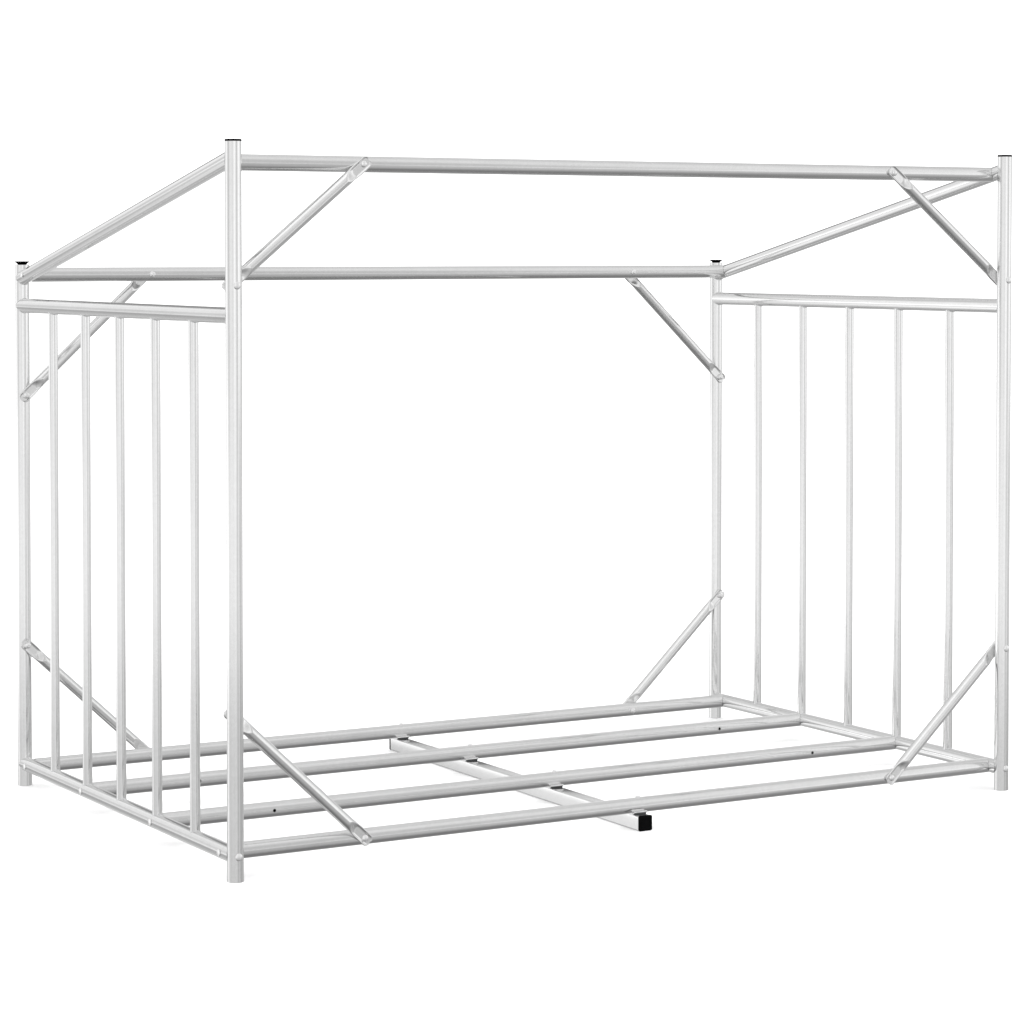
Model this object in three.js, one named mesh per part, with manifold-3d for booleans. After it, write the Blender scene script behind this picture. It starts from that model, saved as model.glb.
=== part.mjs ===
// Hay rack feeder: a free-standing galvanised tube frame with barred ends, a floor of four
// long rails and a top frame that slopes down from the front posts to the rear posts.
//
// Frame: millimetres, +Z up, X along the long side, -Y is the tall open front.
// The origin is on the ground at the middle of the four posts.

import * as THREE from 'three';
import { mergeVertices } from 'three/addons/utils/BufferGeometryUtils.js';
import Module from 'manifold-3d';

const wasm = await Module();
wasm.setup();

// ---------------------------------------------------------------- driving dimensions

const WIDTH = 1982; // between the post axes, left to right
const DEPTH = 1210; // between the post axes, front to rear
const FRONT_HEIGHT = 1500; // to the top of a front post cap
const REAR_HEIGHT = 1250; // to the top of a rear post cap

const TUBE_RADIUS = 17; // posts and all the rails
const WALL = 1.5; // wall of every tube
const BAR_RADIUS = 11; // upright bars of the two ends
const BRACE_RADIUS = 12.5;
const SQUARE_SIDE = 32; // square bar below the floor rails

const FLOOR_Z = 52; // axis of the floor rails and of the side bottom rails
const SIDE_TOP_Z = 1145; // axis of the side top rails
const SLOPE_FRONT_Z = 1464; // axis of a sloped rail at the front post
const SLOPE_REAR_Z = 1209; // axis of a sloped rail at the rear post
const RAIL_INSET = 44; // from a post axis to the axis of the outer long rails

const BOLT_RADIUS = 4;
const SADDLE_BOLT_RADIUS = 3;
const FIT = 0.3; // clearance kept between separate pieces

const BRACE_RAIL_X = 685; // bolt that holds a brace to a long rail
const BRACE_LOW_Z = 337; // bolts that hold the braces to the posts
const BRACE_FRONT_HIGH_Z = 1206;
const BRACE_REAR_HIGH_Z = 932;
const SPARE_HOLE_X = 722; // unused holes in the two middle floor rails

const TUBE_SIDES = 16;
const SMALL_SIDES = 12;
const HOLE_SIDES = 8;

const POST_X = WIDTH / 2;
const POST_Y = DEPTH / 2;
const RAIL_Y = POST_Y - RAIL_INSET;
const BORE_RADIUS = TUBE_RADIUS - WALL;
const SIDE_BAR_PITCH = DEPTH / 6;
const SLOPE_ANGLE = Math.atan2(SLOPE_FRONT_Z - SLOPE_REAR_Z, DEPTH);

// ---------------------------------------------------------------- materials

function metal(colour, roughness) {
  return new THREE.MeshStandardMaterial({ color: colour, roughness, metalness: 0.9 });
}

function plastic(colour, roughness) {
  return new THREE.MeshStandardMaterial({ color: colour, roughness, metalness: 0 });
}

const galvanised = metal(0xc9cccd, 0.35);
const zincBolt = metal(0xd8dadb, 0.25);
const blackPlastic = plastic(0x0c0c0d, 0.45);
const greyPlastic = plastic(0x393a3b, 0.5);

// ---------------------------------------------------------------- solids

function solidOf(geometry) {
  const bare = geometry.clone();
  bare.deleteAttribute('normal');
  bare.deleteAttribute('uv');
  const merged = mergeVertices(bare, 1e-4);
  return new wasm.Manifold(new wasm.Mesh({
    numProp: 3,
    vertProperties: new Float32Array(merged.attributes.position.array),
    triVerts: new Uint32Array(merged.index.array),
  }));
}

function geometryOf(solid) {
  const mesh = solid.getMesh();
  const geometry = new THREE.BufferGeometry();
  geometry.setAttribute('position', new THREE.BufferAttribute(mesh.vertProperties, 3));
  geometry.setIndex(new THREE.BufferAttribute(mesh.triVerts, 1));
  geometry.computeVertexNormals();
  return geometry;
}

// Turns a shape that stands along Y so that it stands along the named axis.
function turnTo(geometry, axis) {
  if (axis === 'x') {
    return geometry.rotateZ(-Math.PI / 2);
  }
  if (axis === 'z') {
    return geometry.rotateX(Math.PI / 2);
  }
  return geometry;
}

function rod(radius, length, axis, at = [0, 0, 0], sides = TUBE_SIDES) {
  const geometry = turnTo(new THREE.CylinderGeometry(radius, radius, length, sides), axis);
  return solidOf(geometry.translate(...at));
}

function block(size, at) {
  return solidOf(new THREE.BoxGeometry(...size).translate(...at));
}

// A rod that clears a round neighbour of the given radius all round.
function clearance(radius, length, axis, at, sides = TUBE_SIDES) {
  return rod((radius + FIT) / Math.cos(Math.PI / sides), length, axis, at, sides);
}

function boltHole(axis, at, radius = BOLT_RADIUS) {
  return clearance(radius, 3 * TUBE_RADIUS, axis, at, HOLE_SIDES);
}

function tube(radius, length, axis, sides = TUBE_SIDES) {
  const outside = rod(radius, length, axis, [0, 0, 0], sides);
  return outside.subtract(rod(radius - WALL, length + 2, axis, [0, 0, 0], sides));
}

// Tapped plate welded inside a rail's end, for the bolt that comes in along the rail.
const PLATE_THICKNESS = 5;
const PLATE_INSET = 32; // from the axis of the crossing tube to the middle of the plate

function endPlate(axis, sign, halfSpan) {
  const along = sign * (halfSpan - PLATE_INSET);
  const at = axis === 'x' ? [along, 0, 0] : [0, along, 0];
  return rod(BORE_RADIUS + 0.5, PLATE_THICKNESS, axis, at)
    .subtract(clearance(BOLT_RADIUS, 2 * PLATE_THICKNESS, axis, at, HOLE_SIDES));
}

function turned(profile, sides) {
  const points = profile.map(([radius, height]) => new THREE.Vector2(radius, height));
  return new THREE.LatheGeometry(points, sides);
}

const rack = new THREE.Group();
rack.name = 'hay_rack_feeder';

function addPart(name, solid, material, at = [0, 0, 0], parent = rack) {
  const mesh = new THREE.Mesh(geometryOf(solid), material);
  mesh.name = name;
  mesh.position.set(...at);
  parent.add(mesh);
  return mesh;
}

const SIDES = [['left', -1], ['right', 1]];
const ENDS = [['front', -1], ['rear', 1]];

// ---------------------------------------------------------------- posts and their caps

const FRONT_FLANGE = 4;
const REAR_FLANGE = 3;
const REAR_NECK = 5; // how far a rear cap stands up out of its post
const CAP_RADIUS = 17.2;
const PLUG_RADIUS = BORE_RADIUS - 0.6;
const PLUG_DEPTH = 14;

function postTop(end) {
  return end === 'front' ? FRONT_HEIGHT - FRONT_FLANGE : REAR_HEIGHT - REAR_FLANGE - REAR_NECK;
}

function post(end) {
  const height = postTop(end);
  const highBolt = end === 'front' ? BRACE_FRONT_HIGH_Z : BRACE_REAR_HIGH_Z;
  let solid = tube(TUBE_RADIUS, height, 'z');
  for (const z of [FLOOR_Z, BRACE_LOW_Z, highBolt]) {
    solid = solid.subtract(boltHole('y', [0, 0, z - height / 2]));
  }
  return solid;
}

// Flat plug: a round flange on the tube's rim and a plug inside it. Height 0 is the rim.
function frontCap() {
  return solidOf(turnTo(turned([
    [0, -PLUG_DEPTH],
    [PLUG_RADIUS - 1.5, -PLUG_DEPTH],
    [PLUG_RADIUS, 0],
    [CAP_RADIUS, 0],
    [CAP_RADIUS, FRONT_FLANGE - 1],
    [CAP_RADIUS - 1, FRONT_FLANGE],
    [0, FRONT_FLANGE],
  ], TUBE_SIDES), 'z'));
}

// The same plug standing proud of its post on a neck that widens up to the flange.
function rearCap() {
  return solidOf(turnTo(turned([
    [0, -PLUG_DEPTH + REAR_NECK],
    [9, -PLUG_DEPTH + REAR_NECK],
    [10, 0],
    [12, 3],
    [15.5, REAR_NECK],
    [CAP_RADIUS, REAR_NECK + 1],
    [CAP_RADIUS, REAR_NECK + 2],
    [CAP_RADIUS - 1, REAR_NECK + REAR_FLANGE],
    [0, REAR_NECK + REAR_FLANGE],
  ], TUBE_SIDES), 'z'));
}

for (const [end, ySign] of ENDS) {
  for (const [side, xSign] of SIDES) {
    const foot = [xSign * POST_X, ySign * POST_Y];
    const top = postTop(end);
    addPart(`post_${end}_${side}`, post(end), galvanised, [...foot, top / 2]);
    const cap = end === 'front' ? frontCap() : rearCap();
    addPart(`post_cap_${end}_${side}`, cap, blackPlastic, [...foot, top]);
  }
}

// ---------------------------------------------------------------- rails of the two ends

// A rail along Y, fish-mouthed onto the two posts of its end.
function sideRail() {
  return tube(TUBE_RADIUS, DEPTH, 'y')
    .subtract(clearance(TUBE_RADIUS, 4 * TUBE_RADIUS, 'z', [0, -POST_Y, 0]))
    .subtract(clearance(TUBE_RADIUS, 4 * TUBE_RADIUS, 'z', [0, POST_Y, 0]));
}

const FLOOR_RAIL_YS = [-RAIL_Y, -SIDE_BAR_PITCH, SIDE_BAR_PITCH, RAIL_Y];

function sideBottomRail() {
  let solid = sideRail().add(endPlate('y', -1, POST_Y)).add(endPlate('y', 1, POST_Y));
  for (const y of FLOOR_RAIL_YS) {
    solid = solid.subtract(boltHole('x', [0, y, 0]));
  }
  return solid;
}

// Height of a sloped rail's axis above its own middle, at a distance y from the middle.
function slopeDrop(y) {
  return -y * Math.tan(SLOPE_ANGLE);
}

// A rail that falls from front to rear, cut upright where it meets the two posts.
function slopedRail() {
  const length = DEPTH / Math.cos(SLOPE_ANGLE);
  const sloped = (radius, extra) => solidOf(
    new THREE.CylinderGeometry(radius, radius, length + extra, TUBE_SIDES).rotateX(-SLOPE_ANGLE));
  let solid = sloped(TUBE_RADIUS, 8 * TUBE_RADIUS).subtract(sloped(BORE_RADIUS, 10 * TUBE_RADIUS));
  for (const sign of [-1, 1]) {
    const height = 20 * TUBE_RADIUS;
    const y = sign * POST_Y;
    solid = solid.subtract(clearance(TUBE_RADIUS, height, 'z', [0, y, 0]));
    solid = solid.subtract(block([60, 200, height], [0, y + sign * 100, 0]));
    solid = solid.subtract(boltHole('x', [0, sign * RAIL_Y, slopeDrop(sign * RAIL_Y)]));
  }
  return solid;
}

// Upright bar between the side bottom rail and the side top rail, fish-mouthed onto both.
function sideBar() {
  const middle = (FLOOR_Z + SIDE_TOP_Z) / 2;
  const length = SIDE_TOP_Z - FLOOR_Z;
  return tube(BAR_RADIUS, length, 'z', SMALL_SIDES)
    .subtract(clearance(TUBE_RADIUS, 4 * TUBE_RADIUS, 'y', [0, 0, FLOOR_Z - middle]))
    .subtract(clearance(TUBE_RADIUS, 4 * TUBE_RADIUS, 'y', [0, 0, SIDE_TOP_Z - middle]));
}

const SLOPE_MIDDLE_Z = (SLOPE_FRONT_Z + SLOPE_REAR_Z) / 2;
const BAR_MIDDLE_Z = (FLOOR_Z + SIDE_TOP_Z) / 2;

for (const [side, xSign] of SIDES) {
  const x = xSign * POST_X;
  addPart(`side_bottom_rail_${side}`, sideBottomRail(), galvanised, [x, 0, FLOOR_Z]);
  addPart(`side_top_rail_${side}`, sideRail(), galvanised, [x, 0, SIDE_TOP_Z]);
  addPart(`sloped_rail_${side}`, slopedRail(), galvanised, [x, 0, SLOPE_MIDDLE_Z]);
  for (let i = 1; i <= 5; i += 1) {
    const y = (i - 3) * SIDE_BAR_PITCH;
    addPart(`side_bar_${side}_${i}`, sideBar(), galvanised, [x, y, BAR_MIDDLE_Z]);
  }
}

// ---------------------------------------------------------------- long rails

const EAR_TRIM = 12.5; // how far short of the crossing tube's axis a long rail's ears stop

// A rail along X, fish-mouthed onto a crossing tube at each end. The crossing tube runs along
// Y and is tilted about X by the given angle.
function longRail(tilt) {
  const halfLength = POST_X - EAR_TRIM;
  let solid = tube(TUBE_RADIUS, 2 * halfLength, 'x');
  for (const sign of [-1, 1]) {
    const radius = (TUBE_RADIUS + FIT) / Math.cos(Math.PI / TUBE_SIDES);
    const crossing = new THREE.CylinderGeometry(radius, radius, 8 * TUBE_RADIUS, TUBE_SIDES);
    crossing.rotateX(tilt).translate(sign * POST_X, 0, 0);
    solid = solid.subtract(solidOf(crossing)).add(endPlate('x', sign, POST_X));
  }
  return solid;
}

function withHoles(solid, axis, xs, radius = BOLT_RADIUS) {
  return xs.reduce((rail, x) => rail.subtract(boltHole(axis, [x, 0, 0], radius)), solid);
}

const FLOOR_RAIL_NAMES = ['front', 'middle_front', 'middle_rear', 'rear'];

FLOOR_RAIL_YS.forEach((y, index) => {
  const outer = index === 0 || index === 3;
  const holeX = outer ? BRACE_RAIL_X : SPARE_HOLE_X;
  let rail = withHoles(longRail(0), 'y', [-holeX, holeX]);
  rail = withHoles(rail, 'z', [0], SADDLE_BOLT_RADIUS);
  addPart(`floor_rail_${FLOOR_RAIL_NAMES[index]}`, rail, galvanised, [0, y, FLOOR_Z]);
});

function topRailZ(ySign) {
  return SLOPE_MIDDLE_Z + slopeDrop(ySign * RAIL_Y);
}

for (const [end, ySign] of ENDS) {
  const rail = withHoles(longRail(-SLOPE_ANGLE), 'y', [-BRACE_RAIL_X, BRACE_RAIL_X]);
  addPart(`top_rail_${end}`, rail, galvanised, [0, ySign * RAIL_Y, topRailZ(ySign)]);
}

// ---------------------------------------------------------------- corner braces

const TAB_HALF_WIDTH = 13;
const TAB_HALF_THICKNESS = 1.6;
const TAB_TIP = 15; // from the bolt to the end of the tab
const TAB_FLAT = 31; // from the bolt to the start of the crimp
const CRIMP_LENGTH = 20; // over which the flat tab opens into the round tube
const TAB_SLIT = 0.5; // the pressed walls stay this far apart
const BRACE_GAP = 0.6; // from the tab to the tube that it lies on

// How flat the brace is pressed at a distance from its nearer bolt: 1 is a tab, 0 is round.
function pressed(distance) {
  return 1 - THREE.MathUtils.smoothstep(distance, TAB_FLAT, TAB_FLAT + CRIMP_LENGTH);
}

// The outside or the bore of a brace, along X from bolt to bolt, with its ends pressed flat.
function pressedRod(span, radius, halfWidth, halfThickness, overrun) {
  const stations = [-TAB_TIP - overrun, TAB_FLAT, TAB_FLAT + CRIMP_LENGTH / 2,
    TAB_FLAT + CRIMP_LENGTH];
  const places = [...stations, ...stations.map((place) => span - place).reverse()];
  const geometry = new THREE.CylinderGeometry(1, 1, 1, SMALL_SIDES, places.length - 1);
  turnTo(geometry, 'x');
  const position = geometry.attributes.position;
  for (let i = 0; i < position.count; i += 1) {
    const ring = Math.round((position.getX(i) + 0.5) * (places.length - 1));
    const along = places[ring];
    const flat = pressed(Math.min(along, span - along));
    const across = position.getZ(i);
    const through = position.getY(i);
    const flatThrough = THREE.MathUtils.clamp(3 * through, -1, 1) * halfThickness;
    position.setXYZ(i, along,
      THREE.MathUtils.lerp(through * radius, flatThrough, flat),
      THREE.MathUtils.lerp(across * radius, across * halfWidth, flat));
  }
  return solidOf(geometry);
}

function brace(span) {
  const outside = pressedRod(span, BRACE_RADIUS, TAB_HALF_WIDTH, TAB_HALF_THICKNESS, 0);
  const bore = pressedRod(span, BRACE_RADIUS - WALL, TAB_HALF_WIDTH - WALL, TAB_SLIT / 2, 1);
  return outside.subtract(bore)
    .subtract(boltHole('y', [0, 0, 0]))
    .subtract(boltHole('y', [span, 0, 0]));
}

// A brace from its bolt on a long rail's outer face to its bolt on a post's inner face.
function addBrace(name, railPoint, postPoint) {
  const along = postPoint.clone().sub(railPoint);
  const span = along.length();
  const xAxis = along.normalize();
  const zAxis = new THREE.Vector3().crossVectors(xAxis, new THREE.Vector3(0, 1, 0)).normalize();
  const yAxis = new THREE.Vector3().crossVectors(zAxis, xAxis);
  const turn = new THREE.Group();
  turn.position.copy(railPoint);
  turn.setRotationFromMatrix(new THREE.Matrix4().makeBasis(xAxis, yAxis, zAxis));
  rack.add(turn);
  addPart(name, brace(span), galvanised, [0, 0, 0], turn);
}

const TAB_OFFSET = TUBE_RADIUS + TAB_HALF_THICKNESS + BRACE_GAP;

for (const [end, ySign] of ENDS) {
  const highZ = end === 'front' ? BRACE_FRONT_HIGH_Z : BRACE_REAR_HIGH_Z;
  const levels = [['upper', topRailZ(ySign), highZ], ['lower', FLOOR_Z, BRACE_LOW_Z]];
  for (const [level, railZ, postZ] of levels) {
    for (const [side, xSign] of SIDES) {
      const railPoint = new THREE.Vector3(
        xSign * BRACE_RAIL_X, ySign * (RAIL_Y + TAB_OFFSET), railZ);
      const postPoint = new THREE.Vector3(xSign * POST_X, ySign * (POST_Y - TAB_OFFSET), postZ);
      addBrace(`brace_${end}_${level}_${side}`, railPoint, postPoint);
    }
  }
}

// ---------------------------------------------------------------- support below the floor

const SUPPORT_HALF_LENGTH = 590; // square bar without its caps
const SUPPORT_BOTTOM_Z = 1;
const SUPPORT_TOP_Z = SUPPORT_BOTTOM_Z + SQUARE_SIDE;
const SUPPORT_MIDDLE_Z = SUPPORT_BOTTOM_Z + SQUARE_SIDE / 2;
const ACCESS_RADIUS = 7.5; // hole in the underside that a bolt head goes in by
const SQUARE_CAP_SIDE = 34;
const SQUARE_CAP_FLANGE = 5;
const SADDLE_SIZE = [34, 26, 7];

function supportBar() {
  const length = 2 * SUPPORT_HALF_LENGTH;
  const bore = SQUARE_SIDE - 2 * WALL;
  let solid = block([SQUARE_SIDE, length, SQUARE_SIDE], [0, 0, 0])
    .subtract(block([bore, length + 2, bore], [0, 0, 0]));
  for (const y of FLOOR_RAIL_YS) {
    const wallZ = SQUARE_SIDE / 2;
    solid = solid
      .subtract(clearance(SADDLE_BOLT_RADIUS, 4 * WALL, 'z', [0, y, wallZ], HOLE_SIDES))
      .subtract(rod(ACCESS_RADIUS, 4 * WALL, 'z', [0, y, -wallZ], SMALL_SIDES));
  }
  return solid;
}

// Square plug: a flange over the bar's end and a smaller block inside it.
function supportCap(ySign) {
  const plugSide = SQUARE_SIDE - 2 * WALL - 1;
  const plugLength = 14;
  return block([SQUARE_CAP_SIDE, SQUARE_CAP_FLANGE, SQUARE_CAP_SIDE],
    [0, ySign * SQUARE_CAP_FLANGE / 2, 0])
    .add(block([plugSide, plugLength, plugSide], [0, -ySign * (plugLength / 2 - 0.5), 0]));
}

// Block between the square bar and a floor rail, hollowed to cradle the rail.
function saddle() {
  const height = SADDLE_SIZE[2];
  return block(SADDLE_SIZE, [0, 0, SUPPORT_TOP_Z + height / 2])
    .subtract(clearance(TUBE_RADIUS, 2 * SADDLE_SIZE[0], 'x', [0, 0, FLOOR_Z]))
    .subtract(clearance(SADDLE_BOLT_RADIUS, 4 * height, 'z', [0, 0, SUPPORT_TOP_Z], HOLE_SIDES));
}

addPart('support_bar', supportBar(), galvanised, [0, 0, SUPPORT_MIDDLE_Z]);
for (const [end, ySign] of ENDS) {
  const at = [0, ySign * SUPPORT_HALF_LENGTH, SUPPORT_MIDDLE_Z + 0.2];
  addPart(`support_bar_cap_${end}`, supportCap(ySign), blackPlastic, at);
}
FLOOR_RAIL_YS.forEach((y, index) => {
  addPart(`saddle_${FLOOR_RAIL_NAMES[index]}`, saddle(), greyPlastic, [0, y, 0]);
});

// ---------------------------------------------------------------- bolts

const HEAD_RADIUS = 8;
const HEAD_HEIGHT = 4;
const SADDLE_HEAD_RADIUS = 5.5;
const SADDLE_HEAD_HEIGHT = 4;
const SADDLE_BOLT_PROUD = 8; // above the top of the floor rail

// Dome-headed bolt along Y. The head's flat underside is at 0 and the shank runs to +length.
function domeBolt(shankRadius, headRadius, headHeight, length) {
  return turned([
    [0, -headHeight],
    [0.55 * headRadius, -0.85 * headHeight],
    [headRadius, -0.25 * headHeight],
    [headRadius, 0],
    [shankRadius, 0],
    [shankRadius, length],
    [0, length],
  ], SMALL_SIDES);
}

const RAIL_BOLT_LENGTH = TUBE_RADIUS + PLATE_INSET + PLATE_THICKNESS;

FLOOR_RAIL_YS.forEach((y, index) => {
  for (const [side, xSign] of SIDES) {
    const bolt = domeBolt(BOLT_RADIUS, HEAD_RADIUS, HEAD_HEIGHT, RAIL_BOLT_LENGTH);
    bolt.rotateZ(xSign * Math.PI / 2);
    const at = [xSign * (POST_X + TUBE_RADIUS + FIT), y, FLOOR_Z];
    addPart(`floor_rail_bolt_${FLOOR_RAIL_NAMES[index]}_${side}`, solidOf(bolt), zincBolt, at);
  }
  const headZ = SUPPORT_TOP_Z - WALL - FIT;
  const length = FLOOR_Z + TUBE_RADIUS + SADDLE_BOLT_PROUD - headZ;
  const bolt = turnTo(
    domeBolt(SADDLE_BOLT_RADIUS, SADDLE_HEAD_RADIUS, SADDLE_HEAD_HEIGHT, length), 'z');
  addPart(`saddle_bolt_${FLOOR_RAIL_NAMES[index]}`, solidOf(bolt), zincBolt, [0, y, headZ]);
});

export default rack;
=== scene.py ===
"""Hay rack feeder: smooth galvanised tubes with coped and welded joints, pressed brace ends,
domed bolts, plastic plugs and saddles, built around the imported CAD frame.

Everything is in metres. +X runs along the long side, -Y is the tall open front, +Z is up.
"""
import math
import random

import bmesh
import bpy
from mathutils import Matrix, Vector


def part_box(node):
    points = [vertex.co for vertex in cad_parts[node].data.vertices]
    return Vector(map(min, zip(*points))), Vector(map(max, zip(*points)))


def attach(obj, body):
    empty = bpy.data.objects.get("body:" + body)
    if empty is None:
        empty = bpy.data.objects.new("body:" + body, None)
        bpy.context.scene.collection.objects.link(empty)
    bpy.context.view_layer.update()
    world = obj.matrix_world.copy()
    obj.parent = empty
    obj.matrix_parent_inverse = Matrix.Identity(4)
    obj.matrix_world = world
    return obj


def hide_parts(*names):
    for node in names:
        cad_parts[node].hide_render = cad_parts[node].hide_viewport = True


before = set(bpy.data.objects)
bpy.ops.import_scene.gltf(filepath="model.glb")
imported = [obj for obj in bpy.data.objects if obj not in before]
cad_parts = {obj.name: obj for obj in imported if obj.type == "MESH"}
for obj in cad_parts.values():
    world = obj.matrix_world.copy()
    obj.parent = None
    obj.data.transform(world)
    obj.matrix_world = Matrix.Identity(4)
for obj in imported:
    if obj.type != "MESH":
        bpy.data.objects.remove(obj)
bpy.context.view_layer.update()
scene = bpy.context.scene
MM = 0.001
TURN = 2 * math.pi
X_AXIS = Vector((1, 0, 0))
Y_AXIS = Vector((0, 1, 0))
Z_AXIS = Vector((0, 0, 1))

SIDES = (("left", -1), ("right", 1))
ENDS = (("front", -1), ("rear", 1))
FLOOR_RAILS = ("front", "middle_front", "middle_rear", "rear")


def middle(node):
    low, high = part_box(node)
    return (low + high) / 2


# ------------------------------------------------------------ sizes taken from the CAD nodes

POST_X = middle("post_front_right").x
POST_Y = middle("post_rear_right").y
post_low, post_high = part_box("post_front_right")
RADIUS = (post_high.x - post_low.x) / 2
rail_front = middle("top_rail_front")
rail_rear = middle("top_rail_rear")
RAIL_Y = rail_rear.y
FLOOR_Z = middle("floor_rail_front").z
SIDE_TOP_Z = middle("side_top_rail_left").z
SLOPE = math.atan2(rail_front.z - rail_rear.z, 2 * RAIL_Y)
side_bar_low, side_bar_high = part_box("side_bar_left_3")
BAR_RADIUS = (side_bar_high.x - side_bar_low.x) / 2

WALL = 1.5 * MM
CHAMFER = 0.35 * MM
COPE_GAP = 0.3 * MM
EAR_TRIM = 8 * MM  # the thin tips of a long rail's coped end are cut this far from the axis
SIDE_EAR_TRIM = 4 * MM  # the same on the rails of the two ends
COPE_REACH = 20 * MM  # a tube is straight from here on, measured from the axis that it meets
BRACE_RAIL_X = 685 * MM
BRACE_POST_Z = {("front", "upper"): 1206 * MM, ("rear", "upper"): 932 * MM,
                ("front", "lower"): 337 * MM, ("rear", "lower"): 337 * MM}
BRACE_RADIUS = 12.5 * MM
TAB_OFFSET = 19.2 * MM
SPARE_HOLE_X = 722 * MM
SPARE_HOLE_RADIUS = 3.7 * MM
ACCESS_RADIUS = 7.5 * MM  # hole under the support bar that a bolt head goes in by
PLUG_RADIUS = 17.2 * MM


# ------------------------------------------------------------ materials

class Graph:
    """A material's node tree with short calls for the nodes used here."""

    def __init__(self, name):
        self.material = bpy.data.materials.new(name)
        self.material.use_nodes = True
        self.tree = self.material.node_tree
        self.tree.nodes.clear()
        self.shader = self.add("BsdfPrincipled")
        output = self.add("OutputMaterial")
        self.link(self.shader.outputs["BSDF"], output.inputs["Surface"])

    def add(self, kind, **settings):
        node = self.tree.nodes.new("ShaderNode" + kind)
        for key, value in settings.items():
            setattr(node, key, value)
        return node

    def link(self, source, target):
        self.tree.links.new(source, target)

    def scaled(self, source, scale):
        node = self.add("Mapping")
        self.link(source, node.inputs["Vector"])
        node.inputs["Scale"].default_value = scale
        return node.outputs["Vector"]

    def noise(self, vector, scale, detail=3.0, roughness=0.5):
        node = self.add("TexNoise")
        self.link(vector, node.inputs["Vector"])
        node.inputs["Scale"].default_value = scale
        node.inputs["Detail"].default_value = detail
        node.inputs["Roughness"].default_value = roughness
        return node.outputs["Fac"]

    def cells(self, vector, scale):
        node = self.add("TexVoronoi")
        self.link(vector, node.inputs["Vector"])
        node.inputs["Scale"].default_value = scale
        return node.outputs["Color"]

    def ranged(self, source, low, high, start=0.0, end=1.0):
        node = self.add("MapRange")
        self.link(source, node.inputs["Value"])
        node.inputs["From Min"].default_value = start
        node.inputs["From Max"].default_value = end
        node.inputs["To Min"].default_value = low
        node.inputs["To Max"].default_value = high
        return node.outputs["Result"]

    def maths(self, operation, first, second):
        node = self.add("Math", operation=operation)
        for socket, value in zip(node.inputs, (first, second)):
            if isinstance(value, (int, float)):
                socket.default_value = value
            else:
                self.link(value, socket)
        return node.outputs["Value"]

    def ramp(self, source, stops):
        node = self.add("ValToRGB")
        self.link(source, node.inputs["Fac"])
        elements = node.color_ramp.elements
        while len(elements) < len(stops):
            elements.new(0.5)
        for element, (position, colour) in zip(elements, stops):
            element.position = position
            element.color = (*colour, 1.0)
        return node.outputs["Color"]

    def bump(self, height, strength, distance):
        node = self.add("Bump")
        self.link(height, node.inputs["Height"])
        node.inputs["Strength"].default_value = strength
        node.inputs["Distance"].default_value = distance
        self.link(node.outputs["Normal"], self.shader.inputs["Normal"])


def galvanised(name, dark, light, rough_low, rough_high, streak=True, bump=0.06):
    """Hot-dip zinc: faint drawing streaks along local Z, soft cloudiness and small spangles."""
    g = Graph(name)
    g.shader.inputs["Metallic"].default_value = 1.0
    local = g.add("TexCoord").outputs["Object"]
    place = g.add("NewGeometry").outputs["Position"]
    cloud = g.noise(place, 9.0, 4.0, 0.6)
    stretch = (1.0, 1.0, 0.03) if streak else (1.0, 1.0, 1.0)
    streaks = g.noise(g.scaled(local, stretch), 260.0, 3.0, 0.6)
    spangle = g.cells(place, 150.0)
    grain = g.noise(place, 900.0, 2.0, 0.5)
    tone = g.maths("ADD", g.maths("MULTIPLY", cloud, 0.5), g.maths("MULTIPLY", streaks, 0.3))
    tone = g.maths("ADD", tone, g.maths("MULTIPLY", spangle, 0.2))
    colour = g.ramp(tone, [(0.30, dark), (0.72, light)])
    g.link(colour, g.shader.inputs["Base Color"])
    rough = g.maths("ADD", g.maths("MULTIPLY", cloud, 0.55), g.maths("MULTIPLY", streaks, 0.45))
    g.link(g.ranged(rough, rough_low, rough_high, 0.3, 0.7), g.shader.inputs["Roughness"])
    height = g.maths("ADD", g.maths("MULTIPLY", streaks, 0.6), g.maths("MULTIPLY", grain, 0.4))
    g.bump(height, bump, 0.00012)
    return g.material


def moulded(name, dark, light, rough_low, rough_high, specular=0.5):
    """Moulded plastic: a fine grained skin with scuffs that are a little lighter and duller."""
    g = Graph(name)
    place = g.add("NewGeometry").outputs["Position"]
    g.shader.inputs["Specular IOR Level"].default_value = specular
    scuff = g.noise(place, 60.0, 6.0, 0.7)
    grain = g.noise(place, 2600.0, 2.0, 0.5)
    g.link(g.ramp(scuff, [(0.35, dark), (0.75, light)]), g.shader.inputs["Base Color"])
    g.link(g.ranged(scuff, rough_low, rough_high, 0.3, 0.7), g.shader.inputs["Roughness"])
    g.bump(grain, 0.3, 0.0001)
    return g.material


TUBE_ZINC = galvanised("tube_zinc", (0.803, 0.803, 0.803), (0.872, 0.872, 0.872), 0.09, 0.14)
BRACE_ZINC = galvanised("brace_zinc", (0.794, 0.794, 0.794), (0.882, 0.882, 0.882), 0.11, 0.17)
BOLT_ZINC = galvanised("bolt_zinc", (0.90, 0.90, 0.90), (0.97, 0.97, 0.97), 0.26, 0.36,
                       streak=False, bump=0.1)
WELD_ZINC = galvanised("weld_zinc", (0.74, 0.745, 0.75), (0.86, 0.865, 0.87), 0.22, 0.36,
                       streak=False, bump=0.3)
BLACK_PLASTIC = moulded("black_plastic", (0.0008, 0.0008, 0.0009), (0.0025, 0.0025, 0.0028),
                        0.45, 0.62, specular=0.05)
# Dark grey plastic for the saddle blocks, made darker than the plastic's own colour: painted shade
# for the shadow under the floor rails.
SADDLE_PLASTIC_PAINTED_SHADE = moulded("grey_plastic", (0.028, 0.029, 0.03), (0.05, 0.051, 0.053), 0.42, 0.60)


# ------------------------------------------------------------ making pieces

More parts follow.
